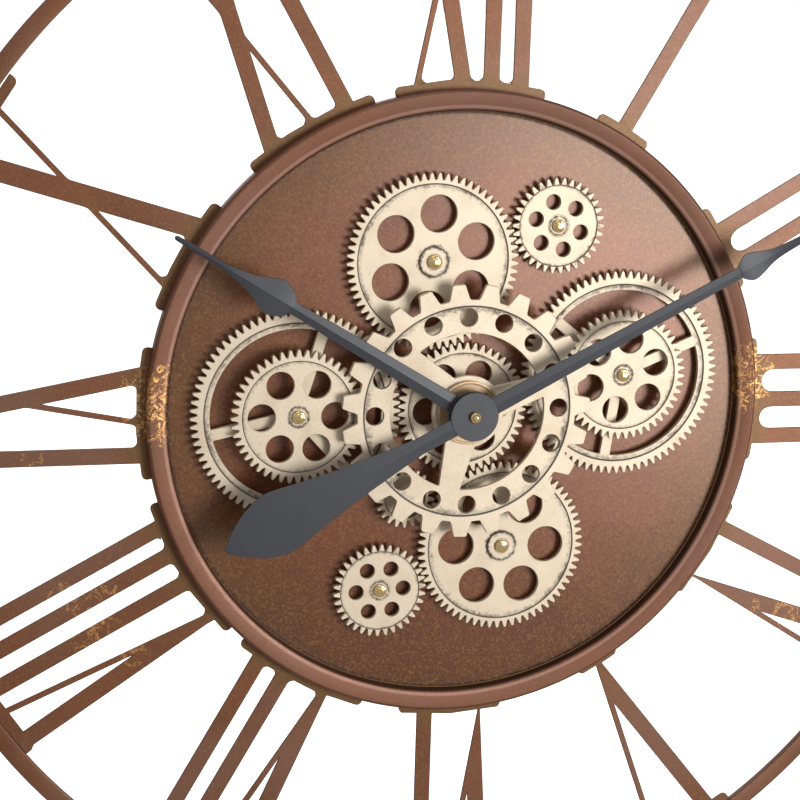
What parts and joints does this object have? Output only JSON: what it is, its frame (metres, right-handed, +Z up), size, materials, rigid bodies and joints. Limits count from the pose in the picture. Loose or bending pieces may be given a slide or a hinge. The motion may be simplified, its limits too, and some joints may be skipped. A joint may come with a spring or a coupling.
{
  "type": "skeleton wall clock",
  "caption": "Large round wall clock with open Roman numerals in a hoop, and a drum whose dial carries a train of turning gears behind the hands.",
  "frame": {"origin": "On the wall-side face of the hanger plate, just above the top of its keyhole slot. The hands' axis is 190 mm straight below it.", "axes": "+X to the viewer's right, +Y from the dial into the wall, +Z up. The wall is the plane Y = 0 and the dial faces -Y."},
  "size_m": [0.8, 0.0853, 0.8],
  "materials": {
    "aged_copper": "satin copper-brown lacquer with rubbed gold patches",
    "champagne_gear": "champagne-gold metallic paint with dark patina in the grooves",
    "copper_collar": "satin copper",
    "slate_hand": "slate-grey satin paint",
    "brass": "polished",
    "bright_steel": "zinc plated",
    "black_steel": "black paint",
    "black_plastic": "fine matt",
    "white_plastic": "matt",
    "bumper_rubber": "matt",
    "battery_jacket": "plain printed film"
  },
  "bodies": {
    "case": {"outer_hoop": "aged_copper", "numeral_01": "aged_copper", "numeral_02": "aged_copper", "numeral_03": "aged_copper", "numeral_04": "aged_copper", "numeral_05": "aged_copper", "numeral_06": "aged_copper", "numeral_07": "aged_copper", "numeral_08": "aged_copper", "numeral_09": "aged_copper", "numeral_10": "aged_copper", "numeral_11": "aged_copper", "numeral_12": "aged_copper", "drum_shell": "aged_copper", "front_bezel": "aged_copper", "dial_plate": "aged_copper", "rear_cover": "black_steel", "rear_cover_screw_1": "bright_steel", "rear_cover_screw_2": "bright_steel", "rear_cover_screw_3": "bright_steel", "wall_hanger": "bright_steel", "wall_bumper_left": "bumper_rubber", "wall_bumper_right": "bumper_rubber", "centre_sleeve": "bright_steel", "sleeve_nut": "brass", "upper_axle": "brass", "lower_axle": "brass", "upper_small_axle": "brass", "lower_small_axle": "brass", "left_axle": "brass", "right_axle": "brass", "movement_case": "black_plastic", "movement_battery": "battery_jacket", "gear_motor": "black_plastic", "battery_holder": "black_plastic", "motor_battery_1": "battery_jacket", "motor_battery_2": "battery_jacket"},
    "centre_wheel": {"centre_gear": "champagne_gear", "centre_spacer": "black_plastic", "cog_ring": "champagne_gear", "hub_collar": "copper_collar"},
    "upper_gear": {"upper_gear": "champagne_gear"},
    "lower_gear": {"lower_gear": "champagne_gear"},
    "upper_small_gear": {"upper_small_gear": "champagne_gear"},
    "lower_small_gear": {"lower_small_gear": "champagne_gear"},
    "left_gears": {"left_ring_gear": "champagne_gear", "left_front_gear": "champagne_gear"},
    "right_gears": {"right_ring_gear": "champagne_gear", "right_front_gear": "champagne_gear"},
    "drive": {"drive_pinion": "champagne_gear", "motor_shaft": "bright_steel"},
    "minute_hand": {"minute_hand": "slate_hand", "minute_shaft": "bright_steel", "hand_cap": "brass"},
    "hour_hand": {"hour_hand": "slate_hand", "hour_tube": "brass"},
    "time_set_knob": {"time_set_knob": "white_plastic"},
    "gear_switch": {"gear_switch": "white_plastic"}
  },
  "joints": [
    {"name": "centre_wheel_spin", "type": "hinge", "parent": "case", "child": "centre_wheel", "pos_m": [0, -0.0465, -0.19], "axis": [0, 1, 0], "continuous": true},
    {"name": "upper_gear_spin", "type": "hinge", "parent": "case", "child": "upper_gear", "pos_m": [-0.02457, -0.0465, -0.0855], "axis": [0, 1, 0], "continuous": true},
    {"name": "lower_gear_spin", "type": "hinge", "parent": "case", "child": "lower_gear", "pos_m": [0.03264, -0.0465, -0.29227], "axis": [0, 1, 0], "continuous": true},
    {"name": "upper_small_gear_spin", "type": "hinge", "parent": "case", "child": "upper_small_gear", "pos_m": [0.06607, -0.0465, -0.06041], "axis": [0, 1, 0], "continuous": true},
    {"name": "lower_small_gear_spin", "type": "hinge", "parent": "case", "child": "lower_small_gear", "pos_m": [-0.05664, -0.0465, -0.32185], "axis": [0, 1, 0], "continuous": true},
    {"name": "left_gears_spin", "type": "hinge", "parent": "case", "child": "left_gears", "pos_m": [-0.11968, -0.0465, -0.19215], "axis": [0, 1, 0], "continuous": true},
    {"name": "right_gears_spin", "type": "hinge", "parent": "case", "child": "right_gears", "pos_m": [0.11752, -0.0465, -0.16724], "axis": [0, 1, 0], "continuous": true},
    {"name": "drive_pinion_spin", "type": "hinge", "parent": "case", "child": "drive", "pos_m": [-0.03983, -0.0465, -0.25454], "axis": [0, 1, 0], "continuous": true},
    {"name": "minute_hand_spin", "type": "hinge", "parent": "case", "child": "minute_hand", "pos_m": [0, -0.079, -0.19], "axis": [0, 1, 0], "continuous": true},
    {"name": "hour_hand_spin", "type": "hinge", "parent": "case", "child": "hour_hand", "pos_m": [0, -0.0734, -0.19], "axis": [0, 1, 0], "continuous": true},
    {"name": "time_set_knob_spin", "type": "hinge", "parent": "case", "child": "time_set_knob", "pos_m": [0.013, -0.0207, -0.182], "axis": [0, 1, 0], "continuous": true},
    {"name": "gear_switch_slide", "type": "slide", "parent": "case", "child": "gear_switch", "axis": [0, 0, 1], "range_m": [0, 0.004]}
  ],
  "couplings": [
    {"joint": "upper_gear_spin", "follows": "centre_wheel_spin", "ratio": -0.73846},
    {"joint": "lower_gear_spin", "follows": "centre_wheel_spin", "ratio": -0.73846},
    {"joint": "upper_small_gear_spin", "follows": "centre_wheel_spin", "ratio": 1.4118},
    {"joint": "lower_small_gear_spin", "follows": "centre_wheel_spin", "ratio": 1.4118},
    {"joint": "left_gears_spin", "follows": "centre_wheel_spin", "ratio": -0.61538},
    {"joint": "right_gears_spin", "follows": "centre_wheel_spin", "ratio": -0.61538},
    {"joint": "drive_pinion_spin", "follows": "centre_wheel_spin", "ratio": 2.2857},
    {"joint": "hour_hand_spin", "follows": "minute_hand_spin", "ratio": 0.083333},
    {"joint": "time_set_knob_spin", "follows": "minute_hand_spin", "ratio": -0.33333}
  ]
}
